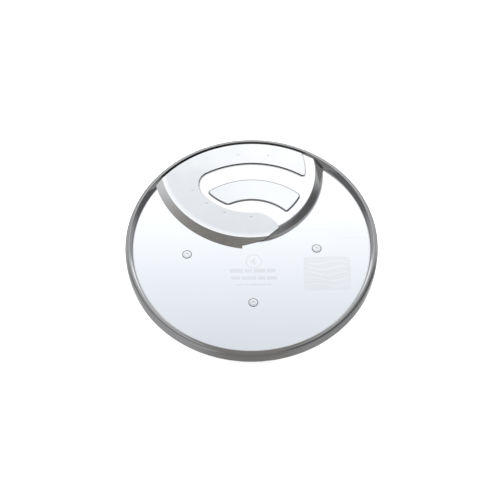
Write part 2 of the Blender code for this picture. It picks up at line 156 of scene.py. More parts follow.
# Camera
CAMERA_ELEVATION = math.radians(58.94)
CAMERA_ROLL = -0.0096
CAMERA_TARGET = Vector((-1.1, -2.9, 16.9)) * MM
CAMERA_DISTANCE = 967.3 * MM
CAMERA_LENS = 100.8

# Studio tent: its ramps' colours stop at 1, so its strength lets white be brighter.
# The middle band goes over the disc by degrees about X: -180 near, 0 far, 90 overhead.
# The sides go by height, from 0 straight down to 1 straight up. The blends are directions.
TENT_STRENGTH = 1.4
SIDE_START, SIDE_FULL = 0.26, 0.48
FAR_END, NEAR_START = 0.5, 0.2
PLAIN = (1.0, 1.0, 1.0)
WARM = (1.04, 1.0, 0.95)
COOL = (0.96, 1.0, 1.05)
MIDDLE_BAND = (
    (-180, 0.17, WARM),
    (-120, 0.16, WARM),
    (-80, 0.40, PLAIN),
    (-58, 0.75, PLAIN),
    (-45, 0.72, PLAIN),
    (-25, 0.55, PLAIN),
    (0, 0.45, PLAIN),
    (25, 0.50, PLAIN),
    (40, 0.62, PLAIN),
    (47, 1.25, PLAIN),
    (56.5, 1.25, PLAIN),
    (60, 0.96, COOL),
    (63.5, 0.77, COOL),
    (66, 0.76, COOL),
    (68.5, 0.66, COOL),
    (71.5, 0.29, PLAIN),
    (73.5, 0.22, WARM),
    (77, 0.19, WARM),
    (88, 0.20, WARM),
    (150, 0.18, WARM),
    (180, 0.17, WARM),
)
FAR_SIDE = (
    (0.0, 0.35), (0.5, 0.38), (0.60, 0.40), (0.72, 0.38), (0.80, 0.33), (0.84, 0.33), (1.0, 0.5)
)
RIGHT_SIDE = (
    (0.0, 0.25), (0.38, 0.22), (0.50, 0.10), (0.56, 0.08), (0.80, 0.10), (0.88, 0.25), (1.0, 0.5)
)
LEFT_SIDE = ((0.0, 0.30), (0.62, 0.30), (0.70, 0.12), (0.78, 0.12), (0.85, 0.30), (1.0, 0.5))


# ---------------------------------------------------------------- heights of the pressed plate

def ease(share):
    """An S-curve from 0 to 1."""
    return 0.5 - 0.5 * np.cos(np.pi * np.clip(share, 0.0, 1.0))


def wall_share(x, y, centre, radii):
    """1 on a hill's top, 0 past its foot; a straight wall has a tight shoulder and a wide foot."""
    radius = np.hypot(x - centre[0], y - centre[1])
    share = np.clip((radius - radii[0]) / (radii[1] - radii[0]), 0.0, 1.0)
    slope = 1.0 / (1.0 - 0.5 * WALL_SHOULDER - 0.5 * WALL_FOOT)
    shoulder = slope * share**2 / (2 * WALL_SHOULDER)
    straight = slope * (share - 0.5 * WALL_SHOULDER)
    foot = 1.0 - slope * (1.0 - share) ** 2 / (2 * WALL_FOOT)
    fall = np.where(share < 1 - WALL_FOOT, straight, foot)
    return 1.0 - np.where(share < WALL_SHOULDER, shoulder, fall)


def rim_height(radius):
    """Height of the rim's inner side over the flat face, up to its crest."""
    out = np.clip(radius, WALL_FOOT_RADIUS, WALL_START) - WALL_FOOT_RADIUS
    fillet = RIM_FILLET - np.sqrt(RIM_FILLET**2 - out**2)
    fillet_top = RIM_FILLET * (1 - math.cos(RIM_WALL_TILT))
    shoulder = CREST_HEIGHT - CREST_INNER_RADIUS
    arc_foot = shoulder + CREST_INNER_RADIUS * math.cos(RIM_WALL_TILT)
    share = (radius - WALL_START) / (CREST_START - WALL_START)
    wall = fillet_top + share * (arc_foot - fillet_top)
    inward = np.clip((CREST_RADIUS - radius) / CREST_INNER_RADIUS, 0.0, 1.0)
    crest = shoulder + CREST_INNER_RADIUS * np.sqrt(1 - inward**2)
    return np.where(radius < WALL_START, fillet, np.where(radius < CREST_START, wall, crest))


def pad_depth(x, y):
    """How far inside the pad's outline a point is; the outline's corners are round."""
    inner, outer = PAD_RADII
    radius = np.hypot(x, y)
    corner = np.where(radius < 0.5 * (inner + outer), *PAD_CORNERS)
    from_left = PAD_LEFT_RADIUS - np.hypot(x - BLADE_CENTRE[0], y - BLADE_CENTRE[1])
    from_right = PAD_RIGHT_RADIUS - np.hypot(x - HILL_CENTRE[0], y - HILL_CENTRE[1])
    inside = (radius - inner, outer - radius, np.where(x < 0, from_left, from_right))
    excess = sum(np.maximum(corner - d, 0.0) ** 2 for d in inside)
    return corner - np.sqrt(excess)


def pad_height(x, y):
    """Height of the pad over the platform, with an S-curve up its sides."""
    return PAD_HEIGHT * ease(pad_depth(x, y) / PAD_SLOPE)


def soft_minimum(a, b):
    """The lesser of two wall shares, with their meeting line rounded except on the top."""
    near = np.maximum(WALL_MEET_BLEND - np.abs(a - b), 0.0) / WALL_MEET_BLEND
    lesser = np.minimum(a, b)
    below_top = np.clip((1.0 - lesser) / WALL_MEET_BLEND, 0.0, 1.0)
    above_foot = np.clip(lesser / WALL_MEET_BLEND, 0.0, 1.0)
    return lesser - near**2 * 0.25 * WALL_MEET_BLEND * below_top * above_foot


def sheet_height(x, y):
    """Height of the upper face without the pad: rim and platform, softly joined."""
    rim = rim_height(np.hypot(x, y))
    hill = wall_share(x, y, HILL_CENTRE, HILL_RADII)
    front = wall_share(x, y, BLADE_CENTRE, FRONT_RADII)
    platform = PLATFORM_HEIGHT * soft_minimum(hill, front)
    overlap = np.maximum(PLATFORM_BLEND - np.abs(rim - platform), 0.0) / PLATFORM_BLEND
    both = np.clip(np.minimum(rim, platform) / PLATFORM_BLEND, 0.0, 1.0)
    lift = overlap**2 * PLATFORM_BLEND / 4 * both
    return np.maximum(rim, platform) + lift


def face_height(x, y):
    """Height of the plate's whole upper face."""
    return sheet_height(x, y) + pad_height(x, y)


def normals_of(height, x, y):
    """Unit normals of a height field."""
    step = 0.01 * MM
    slope_x = (height(x + step, y) - height(x - step, y)) / (2 * step)
    slope_y = (height(x, y + step) - height(x, y - step)) / (2 * step)
    normal = np.stack([-slope_x, -slope_y, np.ones_like(slope_x)], axis=-1)
    return normal / np.linalg.norm(normal, axis=-1, keepdims=True)


# ---------------------------------------------------------------- plan outlines

def arc(centre, radius, start, stop, steps):
    """Points on a circle, angles in radians."""
    angles = np.linspace(start, stop, steps + 1)
    x = centre[0] + radius * np.cos(angles)
    y = centre[1] + radius * np.sin(angles)
    return list(zip(x, y))


def heading(centre, point):
    return math.atan2(point[1] - centre[1], point[0] - centre[0])


def circle(centre, radius, steps):
    return arc(centre, radius, 0.0, math.tau, steps)[:-1]


def meet(radius_a, centre_b, radius_b, side):
    """Where a circle about the disc's axis crosses another; side -1 is the left of the axis."""
    apart = math.hypot(*centre_b)
    along = (apart**2 + radius_a**2 - radius_b**2) / (2 * apart)
    across = -side * math.sqrt(radius_a**2 - along**2)
    x = (along * centre_b[0] - across * centre_b[1]) / apart
    y = (along * centre_b[1] + across * centre_b[0]) / apart
    return (x, y)


def between(centre, radius, first, last, steps):
    """An arc from one point to another, the short way round."""
    start = heading(centre, first)
    turn = (heading(centre, last) - start + math.pi) % math.tau - math.pi
    return arc(centre, radius, start, start + turn, steps)


def slot_outline():
    """The crescent opening: two arcs about the blade's centre, stopped by the rim and the hub."""
    inner, outer = SLOT_RADII
    rim_outer = meet(SLOT_REACH, BLADE_CENTRE, outer, -1)
    hub_outer = meet(SLOT_HUB_CLEARANCE, BLADE_CENTRE, outer, -1)
    hub_inner = meet(SLOT_HUB_CLEARANCE, BLADE_CENTRE, inner, -1)
    rim_inner = meet(SLOT_REACH, BLADE_CENTRE, inner, -1)
    outline = between(BLADE_CENTRE, outer, rim_outer, hub_outer, 120)[:-1]
    outline += between((0, 0), SLOT_HUB_CLEARANCE, hub_outer, hub_inner, 14)[:-1]
    outline += between(BLADE_CENTRE, inner, hub_inner, rim_inner, 110)[:-1]
    outline += between((0, 0), SLOT_REACH, rim_inner, rim_outer, 14)[:-1]
    return outline


def blade_outline():
    """The blade in plan: along its edge, round its inner end, and back along its arm."""
    left = meet(BLADE_REACH, EDGE_CENTRE, EDGE_RADIUS, -1)
    tip_across = BLADE_TIP_X - EDGE_CENTRE[0]
    tip = (BLADE_TIP_X, EDGE_CENTRE[1] - math.sqrt(EDGE_RADIUS**2 - tip_across**2))
    heel = (BLADE_HEEL_X, BLADE_CENTRE[1] - math.sqrt(BLADE_BACK_RADIUS**2 - BLADE_HEEL_X**2))
    arm_start = (ARM_BACK_X, math.sqrt(ARM_RADIUS**2 - ARM_BACK_X**2))
    corner = meet(ARM_RADIUS, HILL_CENTRE, ARM_END_RADIUS, 1)
    end = meet(BLADE_REACH, HILL_CENTRE, ARM_END_RADIUS, 1)
    back = between((0, 0), ARM_RADIUS, arm_start, corner, 120)
    side = between(HILL_CENTRE, ARM_END_RADIUS, corner, end, 40)
    outline = between(EDGE_CENTRE, EDGE_RADIUS, left, tip, 200)
    outline += [(x * MM, y * MM) for x, y in BLADE_END]
    outline += between(BLADE_CENTRE, BLADE_BACK_RADIUS, heel, ARM_ROOT_START, 100)
    outline += [(x * MM, y * MM) for x, y in ARM_ROOT]
    outline += round_corner(back, side, corner, ARM_CORNER)
    outline += between((0, 0), BLADE_REACH, end, left, 160)[1:-1]
    return outline


def round_corner(before, after, corner, radius):
    """Joins two lines that meet in a corner by a smooth bend in its place."""
    before = [p for p in before if math.dist(p, corner) > radius]
    after = [p for p in after if math.dist(p, corner) > radius]
    bend = []
    for i in range(1, 10):
        t = i / 10
        weights = ((1 - t) ** 2, 2 * t * (1 - t), t**2)
        points = (before[-1], corner, after[0])
        bend.append(tuple(sum(w * p[k] for w, p in zip(weights, points)) for k in (0, 1)))
    return before + bend + after


# ---------------------------------------------------------------- etched marks, all generic

def box_outline(x, y, wide, tall):
    return [(x, y), (x + wide, y), (x + wide, y + tall), (x, y + tall)]


def mark_outlines():
    """Outlines of the etched marks in millimetres: circled digit, dashes and a wavy panel."""
    marks = four_outline()
    marks += dash_outlines()
    marks += panel_outlines()
    return [[(x * MM, y * MM) for x, y in outline] for outline in marks]


def four_outline():
    """A digit 4 from three strokes joined in one outline."""
    x, y = RING_CENTRE[0] / MM, RING_CENTRE[1] / MM
    points = [(-0.2, 2.4), (0.8, 2.4), (0.8, -0.6), (1.6, -0.6), (1.6, -1.3), (0.8, -1.3)]
    points += [(0.8, -2.6), (0.0, -2.6), (0.0, -1.3), (-2.0, -1.3), (-2.0, -0.7)]
    return [[(x + px, y + py) for px, py in points]]


def dash_outlines():
    """Three rows of plain dashes where the maker's wording stood."""
    outlines = []
    rows = ((-15.0, -21.6, 3.0, (9.0, 5.0, 8.0, 6.0)), (-14.0, -27.2, 2.6, (6.0, 10.0, 5.0, 7.0)))
    for x, y, tall, widths in rows:
        for wide in widths:
            outlines.append(box_outline(x, y, wide, tall))
            x += wide + 1.1
    x = -11.0
    for wide in (5.0, 3.0, 6.0, 4.0, 3.0):
        outlines.append(box_outline(x, -31.6, wide, 1.1))
        x += wide + 0.8
    return outlines


def panel_outlines():
    """A frosted panel with round corners, and plain wavy bands across it."""
    corner = 2.5
    left, right, low, high = 38.0, 65.0, -33.5, -12.0
    panel = []
    for i, centre in enumerate(((right, high), (left, high), (left, low), (right, low))):
        panel += arc(centre, corner, 0.5 * math.pi * i, 0.5 * math.pi * (i + 1), 6)
    outlines = [panel]
    for row in range(5):
        base = low + 1.5 + 4.4 * row
        upper = []
        lower = []
        for i in range(33):
            x = left + (right - left) * i / 32
            wave = 1.3 * math.sin(0.23 * (x - left) + 0.8 * row)
            lower.append((x, base + wave))
            upper.append((x, base + wave + 0.9))
        outlines.append(lower + upper[::-1])
    return outlines


# ---------------------------------------------------------------- mesh builders

def grid_points(step, keep):
    """Square grid points over the disc, offset off the axes, that a test keeps."""
    half = np.arange(-DISC_RADIUS, DISC_RADIUS, step) + 0.37 * step
    x, y = (a.ravel() for a in np.meshgrid(half, half))
    kept = keep(x, y)
    return np.stack([x[kept], y[kept]], axis=-1)


def counterclockwise(outline):
    x, y = np.array(outline).T
    area = np.sum(x * np.roll(y, -1) - y * np.roll(x, -1))
    return outline if area > 0 else outline[::-1]


def triangulate(outlines, points):
    """Triangles in the first outline. Each says which of the other outlines hold it."""
    outlines = [counterclockwise(outline) for outline in outlines]
    flat = [p for outline in outlines for p in outline]
    faces = []
    first = 0
    for outline in outlines:
        faces.append(list(range(first, first + len(outline))))
        first += len(outline)
    vectors = [Vector((x / MM, y / MM)) for x, y in flat] + [Vector(p / MM) for p in points]
    made = delaunay_2d_cdt(vectors, [], faces, 1, 1e-5, True)
    vertices = np.array([(v.x * MM, v.y * MM) for v in made[0]])
    return vertices, made[2], made[5]


def away_from(outlines, points, gap):
    """Drops points close to an outline's own points, so that no sliver is made there."""
    rims = np.array([p for outline in outlines for p in outline])
    cells = {}
    for x, y in rims:
        cells.setdefault((int(x // gap), int(y // gap)), []).append((x, y))
    kept = []
    for x, y in points:
        column, row = int(x // gap), int(y // gap)
        cells_near = [(column + i, row + j) for i in (-1, 0, 1) for j in (-1, 0, 1)]
        close = (p for cell in cells_near for p in cells.get(cell, ()))
        if all((px - x) ** 2 + (py - y) ** 2 >= gap * gap for px, py in close):
            kept.append((x, y))
    return np.array(kept)


def open_edges(faces):
    """Edges that only one face uses, in that face's direction."""
    used = {}
    for face in faces:
        for a, b in zip(face, face[1:] + face[:1]):
            used[(a, b)] = True
    return [(a, b) for a, b in used if (b, a) not in used]


def solid_from_sheet(name, top, bottom, faces, normals, under_normals, face_slots, wall_slot):
    """A closed mesh from an upper and a lower surface with the same faces, and walls at edges.

    normals and under_normals are one unit vector for each face corner. Slot 0 is underneath.
    """
    count = len(top)
    vertices = np.concatenate([top, bottom])
    polygons = [tuple(f) for f in faces]
    polygons += [tuple(v + count for v in reversed(f)) for f in faces]
    edges = open_edges(faces)
    corner_normals = [normals]
    corner_normals.append(np.concatenate([n[::-1] for n in split_corners(under_normals, faces)]))
    wall_normals = []
    for a, b in edges:
        polygons.append((b, a, a + count, b + count))
        side = np.cross(top[a] - top[b], bottom[a] - top[a])
        side /= max(np.linalg.norm(side), 1e-12)
        wall_normals += [side] * 4
    corner_normals.append(np.array(wall_normals))
    mesh = bpy.data.meshes.new(name)
    mesh.from_pydata(vertices.tolist(), [], polygons)
    slots = list(face_slots) + [0] * len(faces) + [wall_slot] * len(edges)
    mesh.polygons.foreach_set("material_index", np.array(slots, dtype=np.int32))
    mesh.shade_smooth()
    mesh.normals_split_custom_set(np.concatenate(corner_normals).tolist())
    mesh.update()
    obj = bpy.data.objects.new(name, mesh)
    bpy.context.scene.collection.objects.link(obj)
    return obj


def split_corners(corner_values, faces):
    """Cuts one array of face corners into one piece for each face."""
    ends = np.cumsum([len(f) for f in faces])[:-1]
    return np.split(corner_values, ends)


def turned(name, profile, steps, materials, centre):
    """A closed (radius, height) profile turned about a vertical axis."""
    data = bmesh.new()
    columns = []
    for i in range(steps):
        angle = math.tau * i / steps
        column = []
        for j, (radius, height) in enumerate(profile):
            if radius == 0 and columns:
                column.append(columns[0][j])
                continue
            x = centre[0] + radius * math.cos(angle)
            y = centre[1] + radius * math.sin(angle)
            column.append(data.verts.new((x, y, height)))
        columns.append(column)
    for here, there in zip(columns, columns[1:] + columns[:1]):
        for j in range(len(profile)):
            k = (j + 1) % len(profile)
            corners = list(dict.fromkeys((here[j], here[k], there[k], there[j])))
            if len(corners) > 2:
                data.faces.new(corners)
    return finish_mesh(name, data, materials)


def finish_mesh(name, data, materials):
    """Turns a bmesh into an object with outward faces, smooth between sharp edges."""
    bmesh.ops.recalc_face_normals(data, faces=data.faces)
    mesh = bpy.data.meshes.new(name)
    data.to_mesh(mesh)
    data.free()
    mesh.shade_smooth()
    mesh.set_sharp_from_angle(angle=SHARP_ANGLE)
    for material in materials:
        mesh.materials.append(material)
    obj = bpy.data.objects.new(name, mesh)
    bpy.context.scene.collection.objects.link(obj)
    return obj


def rounded(profile, radius):
    """Rounds the corners of an open line that lie off the axis."""
    points = [profile[0]]
    for before, corner, after in zip(profile, profile[1:], profile[2:]):
        before, corner, after = (np.array(p) for p in (before, corner, after))
        back = before - corner
        ahead = after - corner
        reach = min(radius, 0.45 * np.linalg.norm(back), 0.45 * np.linalg.norm(ahead))
        start = corner + back / np.linalg.norm(back) * reach
        stop = corner + ahead / np.linalg.norm(ahead) * reach
        for t in (0.0, 0.25, 0.5, 0.75, 1.0):
            point = (1 - t) ** 2 * start + 2 * t * (1 - t) * corner + t**2 * stop
            points.append((float(point[0]), float(point[1])))
    points.append(profile[-1])
    return points


# ---------------------------------------------------------------- node helpers

class Nodes:
    """A short way to write a tree of shader nodes."""

    def __init__(self, tree):
        self.tree = tree

    def add(self, kind, inputs=None, **settings):
        node = self.tree.nodes.new(kind)
        for key, value in settings.items():
            setattr(node, key, value)
        for key, value in (inputs or {}).items():
            self.set(node.inputs[key], value)
        return node

    def set(self, socket, value):
        if isinstance(value, bpy.types.NodeSocket):
            self.tree.links.new(value, socket)
        else:
            socket.default_value = value

    def math(self, operation, *values, clamp=False):
        node = self.add("ShaderNodeMath", operation=operation, use_clamp=clamp)
        for socket, value in zip(node.inputs, values):
            self.set(socket, value)
        return node.outputs[0]

    def remap(self, value, low, high, to_low, to_high, smooth=False):
        kind = "SMOOTHSTEP" if smooth else "LINEAR"
        inputs = {0: value, 1: low, 2: high, 3: to_low, 4: to_high}
        return self.add("ShaderNodeMapRange", inputs, interpolation_type=kind).outputs[0]

    def ramp(self, value, stops):
        node = self.add("ShaderNodeValToRGB", {0: value})
        elements = node.color_ramp.elements
        elements[0].position, elements[1].position = stops[0][0], stops[-1][0]
        elements[0].color, elements[1].color = (*stops[0][1], 1.0), (*stops[-1][1], 1.0)
        for place, colour in stops[1:-1]:
            elements.new(place).color = (*colour, 1.0)
        return node.outputs[0]

    def mix(self, share, a, b):
        node = self.add("ShaderNodeMix", data_type="RGBA")
        self.set(node.inputs[0], share)
        self.set(node.inputs[6], a)
        self.set(node.inputs[7], b)
        return node.outputs[2]

    def axes(self, vector):
        return self.add("ShaderNodeSeparateXYZ", {0: vector}).outputs

    def vector(self, x, y):
        return self.add("ShaderNodeCombineXYZ", {0: x, 1: y}).outputs[0]

    def distance(self, x, y):
        square = self.math("MULTIPLY_ADD", x, x, self.math("MULTIPLY", y, y))
        return self.math("SQRT", square)

    def noise(self, vector, scale, detail=2.0, roughness=0.5):
        inputs = {"Vector": vector, "Scale": scale, "Detail": detail, "Roughness": roughness}
        return self.add("ShaderNodeTexNoise", inputs).outputs[0]

    def stretched(self, vector, scales, angle=0.0):
        node = self.add("ShaderNodeMapping", {"Vector": vector, "Scale": scales})
        node.inputs["Rotation"].default_value = (0.0, 0.0, angle)
        return node.outputs[0]

    def bump(self, height, strength, distance):
        inputs = {"Height": height, "Strength": strength, "Distance": distance}
        return self.add("ShaderNodeBump", inputs).outputs[0]


def new_material(name, metallic):
    material = bpy.data.materials.new(name)
    material.use_nodes = True
    nodes = Nodes(material.node_tree)
    shader = material.node_tree.nodes["Principled BSDF"]
    shader.inputs["Metallic"].default_value = metallic
    place = nodes.add("ShaderNodeTexCoord").outputs["Object"]
    return material, nodes, shader, place


def set_surface(nodes, shader, colour, roughness, normal):
    values = {"Base Color": colour, "Roughness": roughness, "Normal": normal}
    for name, value in values.items():
        nodes.set(shader.inputs[name], value)


# ---------------------------------------------------------------- materials

def hairlines(nodes, place):
    """Fine straight scratches in three directions, 1 where there is a scratch."""
    scratch = 0.0
    for angle in (0.4, 2.8, 5.2):
        line = nodes.noise(nodes.stretched(place, (14.0, 1500.0, 1.0), angle), 1.0, 1.0)
        here = nodes.remap(line, 0.70, 0.76, 0.0, 1.0, smooth=True)
        scratch = nodes.math("MAXIMUM", scratch, here)
    return scratch


def polished_steel(name, colour, roughness, etched=False):
    """Pressed stainless sheet: near-mirror, with faint grain, smudges, hairline scratches and
    painted shade in corners.
    """
    material, nodes, shader, place = new_material(name, 1.0)
    smudge = nodes.noise(place, 28.0, 3.0, 0.55)
    grain = nodes.noise(nodes.stretched(place, (300.0, 5200.0, 300.0)), 1.0, 2.0)
    scratch = hairlines(nodes, place)
    rough = nodes.remap(smudge, 0.3, 0.7, roughness * 0.8, roughness * 1.3)
    rough = nodes.math("MULTIPLY_ADD", scratch, 0.12, rough)
    if etched:
        frost = nodes.noise(place, 4200.0, 2.0)
        rough = nodes.math("ADD", rough, nodes.remap(frost, 0.3, 0.7, 0.04, 0.09))
    shade = nodes.remap(smudge, 0.3, 0.7, 0.985, 1.0)
    dark = tuple(0.9 * c for c in colour)
    clean = nodes.mix(shade, (*dark, 1.0), (*colour, 1.0))
    # Painted shade: near black is mixed into the steel where ambient occlusion finds tight
    # corners.
    base = nodes.mix(corner_painted_shade(nodes), clean, PAINTED_SHADE)
    height = nodes.math("MULTIPLY_ADD", grain, 0.3, scratch)
    set_surface(nodes, shader, base, rough, nodes.bump(height, 0.05, 0.02 * MM))
    return material


def corner_painted_shade(nodes):
    """Share of painted shade, which ambient occlusion puts in the tight corners at the feet of the
    walls.
    """
    hidden = nodes.add("ShaderNodeAmbientOcclusion", samples=8)
    hidden.inputs["Distance"].default_value = PAINTED_SHADE_REACH
    return nodes.remap(hidden.outputs["AO"], *PAINTED_SHADE_LIMITS, 0.0, PAINTED_SHADE_SHARE)


def embossed_painted_shade_steel(name):
    """The pad's top: polished less than the sheet, and darker than it by painted shade, most
    towards the blade.
    """
    material, nodes, shader, place = new_material(name, 1.0)
    cloud = nodes.noise(nodes.stretched(place, (22.0, 60.0, 1.0), 0.5), 1.0, 3.0, 0.55)
    # Painted shade: the pad's top is darker than the sheet, and darker still towards the blade, in
    # place of its duller reflection.
    share = nodes.remap(nodes.axes(place)[0], BLADE_BACK_X, 18.0 * MM, 0.0, 1.0, smooth=True)
    share = nodes.math("ADD", share, nodes.remap(cloud, 0.35, 0.65, -0.25, 0.25), clamp=True)
    darker_painted_tone, lighter_painted_tone = (0.79, 0.81, 0.835, 1.0), (0.87, 0.88, 0.90, 1.0)
    rough = nodes.remap(cloud, 0.3, 0.7, 0.14, 0.20)
    grain = nodes.noise(nodes.stretched(place, (300.0, 5200.0, 300.0)), 1.0, 2.0)
    bumps = nodes.bump(grain, 0.05, 0.02 * MM)
    set_surface(nodes, shader, nodes.mix(share, darker_painted_tone, lighter_painted_tone), rough, bumps)
    return material


def blade_polar(nodes, place):
    """Angle and radius about the blade's centre."""
    axes = nodes.axes(place)
    x = nodes.math("SUBTRACT", axes[0], BLADE_CENTRE[0])
    y = nodes.math("SUBTRACT", axes[1], BLADE_CENTRE[1])
    angle = nodes.math("ARCTAN2", x, nodes.math("MULTIPLY", y, -1.0))
    return angle, nodes.distance(x, y)


def blade_steel(name):
    """The blade's flat body: ground round its centre, darker towards the lower left, with a
    painted highlight along the bevel's top edge.
    """
    material, nodes, shader, place = new_material(name, 1.0)
    angle, radius = blade_polar(nodes, place)
    across, along = nodes.math("MULTIPLY", radius, 9000.0), nodes.math("MULTIPLY", angle, 10.0)
    lane = nodes.vector(across, along)
    grain = nodes.noise(lane, 1.0, 2.0)
    smudge = nodes.noise(place, 40.0, 3.0)
    low = (0.755, 0.77, 0.79, 1.0)
    high = (0.91, 0.92, 0.935, 1.0)
    # Darker towards the lower left, lighter towards the upper right.
    axes = nodes.axes(place)
    slanted = nodes.math("MULTIPLY_ADD", axes[1], 1.4, axes[0])
    slant_ramp = nodes.remap(slanted, 15.0 * MM, 120.0 * MM, -0.1, 0.9, smooth=True)
    patchy = nodes.remap(smudge, 0.3, 0.7, -0.15, 0.35)
    share = nodes.math("ADD", slant_ramp, patchy, clamp=True)
    # Painted highlight: the body turns near white over the last few millimetres before the bevel.
    bevel_edge_highlight = nodes.remap(radius, BEVEL_RADIUS - 4.5 * MM, BEVEL_RADIUS, 0.0, 0.85, smooth=True)
    base = nodes.mix(bevel_edge_highlight, nodes.mix(share, low, high), (0.97, 0.975, 0.98, 1.0))
    rough = nodes.math("MULTIPLY_ADD", grain, 0.12, 0.16)
    set_surface(nodes, shader, base, rough, nodes.bump(grain, 0.12, 0.02 * MM))
    return material


def bevel_steel(name):
    """The ground bevel: striations straight across the edge, and a painted reflection that turns
    its left end near white.
    """
    material, nodes, shader, place = new_material(name, 1.0)
    angle, radius = blade_polar(nodes, place)
    along, across = nodes.math("MULTIPLY", angle, 260.0), nodes.math("MULTIPLY", radius, 60.0)
    lane = nodes.vector(along, across)
    coarse = nodes.noise(lane, 1.0, 3.0, 0.6)
    fine = nodes.noise(lane, 6.0, 2.0, 0.6)
    streak = nodes.math("MULTIPLY_ADD", coarse, 0.6, nodes.math("MULTIPLY", fine, 0.4))
    tone = nodes.remap(streak, 0.35, 0.65, 0.0, 1.0)
    # Dark brown-grey tones: partly the ground finish, partly painted shade in place of the bevel's
    # darker reflection.
    low = (0.50, 0.475, 0.45, 1.0)
    high = (0.72, 0.695, 0.665, 1.0)
    lighter_painted_tone = (0.93, 0.935, 0.94, 1.0)
    # Painted reflection: near white is mixed in towards the bevel's left end.
    end = nodes.remap(nodes.axes(place)[1], 22.0 * MM, 52.0 * MM, 0.0, 1.0, smooth=True)
    base = nodes.mix(end, nodes.mix(tone, low, high), lighter_painted_tone)
    rough = nodes.math("MULTIPLY_ADD", streak, 0.2, 0.1)
    set_surface(nodes, shader, base, rough, nodes.bump(streak, 0.25, 0.05 * MM))
    return material


def turned_metal(name, colour, roughness, ring_scale):
    """Machined metal: fine rings about the disc's axis, with worn lighter patches."""
    material, nodes, shader, place = new_material(name, 1.0)
    x, y, height = nodes.axes(place)
    turn = nodes.math("MULTIPLY", nodes.distance(x, y), ring_scale)
    ring = nodes.noise(nodes.vector(turn, nodes.math("MULTIPLY", height, ring_scale)), 1.0, 2.0)
    wear = nodes.noise(place, 220.0, 3.0, 0.6)
    dark = tuple(0.8 * c for c in colour)
    base = nodes.mix(wear, (*dark, 1.0), (*colour, 1.0))
    rough = nodes.math("MULTIPLY_ADD", ring, 0.15, roughness)
    set_surface(nodes, shader, base, rough, nodes.bump(ring, 0.2, 0.03 * MM))
    return material


def moulded_plastic(name):
    """Grey moulded plastic: fine spark texture, faint flow marks and a scuffed foot ring."""
    material, nodes, shader, place = new_material(name, 0.0)
    spark = nodes.noise(place, 2600.0, 3.0, 0.6)
    flow = nodes.noise(nodes.stretched(place, (30.0, 30.0, 120.0)), 1.0, 3.0)
    foot = nodes.remap(nodes.axes(place)[2], 0.0, 1.2 * MM, 1.0, 0.0, smooth=True)
    patches = nodes.remap(nodes.noise(place, 500.0, 4.0), 0.4, 0.6, 0.0, 1.0)
    grey_base = nodes.mix(flow, (0.20, 0.205, 0.21, 1.0), (0.25, 0.255, 0.26, 1.0))
    base = nodes.mix(nodes.math("MULTIPLY", foot, patches), grey_base, (0.42, 0.42, 0.42, 1.0))
    rough = nodes.math("MULTIPLY_ADD", spark, 0.2, 0.35)
    set_surface(nodes, shader, base, rough, nodes.bump(spark, 0.25, 0.05 * MM))
    return material


# ---------------------------------------------------------------- the pieces

def rim_rings():
    """(radius, height, slope normal) round the rim, from the flat face to the skirt's end.

    Height and normal are None inside the crest, where the face's own heights are used.
    """
    tilts = [RIM_WALL_TILT * (1 - i / CREST_RINGS) for i in range(CREST_RINGS)]
    inner = [FLAT_RADIUS + (WALL_FOOT_RADIUS - FLAT_RADIUS) * i / 4 for i in range(1, 5)]
    inner += [WALL_FOOT_RADIUS + RIM_FILLET * math.sin(RIM_WALL_TILT * i / 6) for i in range(1, 7)]
    inner += [WALL_START + (CREST_START - WALL_START) * i / 5 for i in range(1, 5)]
    inner += [CREST_RADIUS - CREST_INNER_RADIUS * math.sin(tilt) for tilt in tilts]
    rings = [(radius, None, None) for radius in inner]
    wide = DISC_RADIUS - CREST_RADIUS
    power = 2 / CREST_FULLNESS
    for i in range(19):
        sine = math.sin(0.5 * math.pi * i / 18)
        cosine = max(math.cos(0.5 * math.pi * i / 18), 0.0)
        radius = CREST_RADIUS + wide * sine**power
        drop = CREST_SLOPE * (radius - CREST_RADIUS) + CREST_OUTER_DROP * (1 - cosine**power)
        height = CREST_HEIGHT - drop
        up = cosine ** (2 - power) / CREST_OUTER_DROP
        out = sine ** (2 - power) / wide + CREST_SLOPE * up
        size = math.hypot(out, up)
        rings.append((radius, height, (out / size, up / size)))
    bottom = CREST_HEIGHT - CREST_SLOPE * wide - CREST_OUTER_DROP
    for i in range(1, 4):
        rings.append((DISC_RADIUS, bottom + (-SKIRT_DEPTH - bottom) * i / 3, (1.0, 0.0)))
    return rings


def rim_mesh():
    """Vertices and normals of the rim outside the flat face, ring by ring."""
    angles = math.tau * np.arange(RIM_SECTORS) / RIM_SECTORS
    vertices = []
    normals = []
    for radius, height, slope in rim_rings():
        x = radius * np.cos(angles)
        y = radius * np.sin(angles)
        if height is None:
            vertices.append(np.stack([x, y, sheet_height(x, y)], axis=-1))
            normals.append(normals_of(sheet_height, x, y))
        else:
            vertices.append(np.stack([x, y, np.full_like(x, height)], axis=-1))
            out, up = slope
            tilt = np.stack([out * np.cos(angles), out * np.sin(angles), np.full_like(x, up)], -1)
            normals.append(tilt)
    return np.concatenate(vertices), np.concatenate(normals)


def interest(x, y):
    """True where the flat part of the plate is curved or sloped and needs small triangles."""
    reach = 0.35 * MM
    around = [(reach, 0), (-reach, 0), (0, reach), (0, -reach)]
    here = face_height(x, y)
    change = sum(np.abs(face_height(x + dx, y + dy) - here) for dx, dy in around)
    return change > 0.002 * MM


def plate_points(outlines):
    inside = FLAT_RADIUS - 0.5 * MM
    coarse = grid_points(1.6 * MM, lambda x, y: (np.hypot(x, y) < inside) & ~interest(x, y))
    middle = grid_points(0.5 * MM, lambda x, y: (np.hypot(x, y) < inside) & interest(x, y))
    fine = grid_points(0.24 * MM, pad_side)
    middle = middle[~pad_side(middle[:, 0], middle[:, 1])]
    points = np.concatenate([coarse, middle, fine])
    return away_from(outlines, points, 0.22 * MM)


